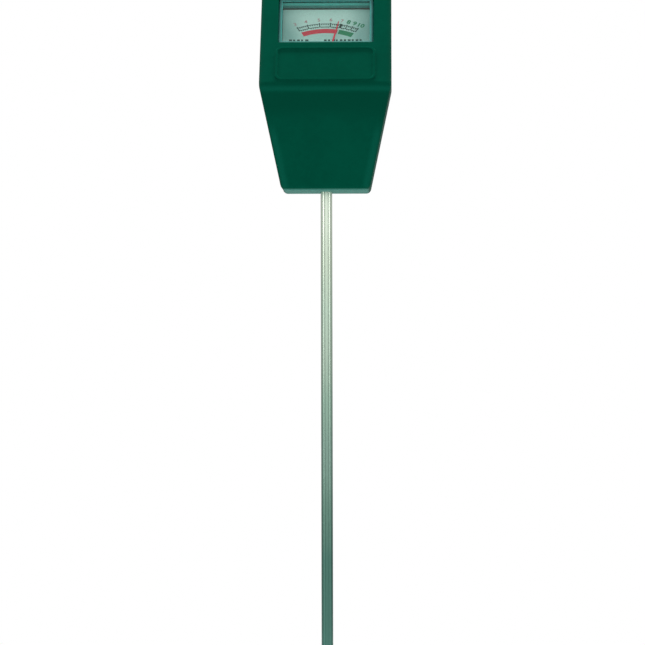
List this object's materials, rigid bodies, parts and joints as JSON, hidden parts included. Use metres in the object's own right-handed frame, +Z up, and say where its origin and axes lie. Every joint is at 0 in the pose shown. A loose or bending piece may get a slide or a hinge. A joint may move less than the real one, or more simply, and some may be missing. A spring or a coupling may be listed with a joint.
{
  "type": "soil meter",
  "caption": "Hand-held soil probe meter: a tapered green case with a slanted dial window and moving-coil pointer, on a long two-metal probe.",
  "frame": {"origin": "on the probe's axis, at the underside of the case, which is the surface the probe leaves", "axes": "+Z up along the probe towards the case's top, -Y towards the dial side, +X to the right of someone reading the dial"},
  "size_m": [0.053, 0.0468, 0.291],
  "materials": {
    "green_plastic": "deep green moulded plastic, fine satin texture",
    "clear_plastic": "clear moulded plastic",
    "dial_white": "silver-white print ground with a printed scale",
    "black_plastic": "black moulded plastic",
    "red_paint": "red paint",
    "plated_steel": "nickel-plated steel, drawn along its length",
    "steel": "zinc-plated steel",
    "dark_steel": "dark magnet steel",
    "brass": "turned brass",
    "alloy": "light alloy",
    "copper_wire": "enamelled copper wire",
    "white_nylon": "white moulded plastic",
    "red_pvc": "red wire insulation",
    "black_pvc": "black wire insulation"
  },
  "bodies": {
    "case": {"front_housing": "green_plastic", "rear_cover": "green_plastic", "cover_screw_1": "steel", "cover_screw_2": "steel", "cover_screw_3": "steel", "cover_screw_4": "steel", "meter_cover": "clear_plastic", "dial_plate": "dial_white", "meter_frame": "black_plastic", "meter_screw_left": "steel", "meter_screw_right": "steel", "dial_screw_left": "brass", "dial_screw_right": "brass", "bridge_screw_left": "brass", "bridge_screw_right": "brass", "meter_terminal_left": "brass", "meter_terminal_right": "brass", "pointer_stop_left": "brass", "pointer_stop_right": "brass", "yoke_ring": "dark_steel", "magnet_core": "dark_steel", "core_support": "brass", "upper_bridge": "alloy", "upper_jewel_screw": "brass", "lower_jewel_screw": "brass", "upper_hairspring": "brass", "lower_hairspring": "brass", "probe_tube": "plated_steel", "probe_insulator": "white_nylon", "probe_tip": "alloy", "core_rod": "brass", "insulating_sleeve": "white_nylon", "probe_collar": "steel", "collar_screw": "steel", "rod_nut": "brass", "rod_lug": "brass", "rod_lead": "red_pvc", "tube_lead": "black_pvc"},
    "zero_adjuster": {"zero_adjuster": "alloy"},
    "works": {"coil_bobbin": "alloy", "coil_winding": "copper_wire", "upper_staff": "steel", "lower_staff": "steel", "pointer_hub": "alloy", "pointer": "red_paint", "balance_weight_left": "brass", "balance_weight_right": "brass", "balance_weight_tail": "brass"}
  },
  "joints": [
    {"name": "pointer_swing", "type": "hinge", "parent": "case", "child": "works", "pos_m": [0, -0.01673, 0.05317], "axis": [0, 0.7071, -0.7071], "range_deg": [-40, 22], "stiffness_Nm_per_rad": 0.0001},
    {"name": "zero_adjust", "type": "hinge", "parent": "case", "child": "zero_adjuster", "pos_m": [0, -0.01673, 0.05317], "axis": [0, 0.7071, -0.7071], "range_deg": [-8, 8]}
  ]
}
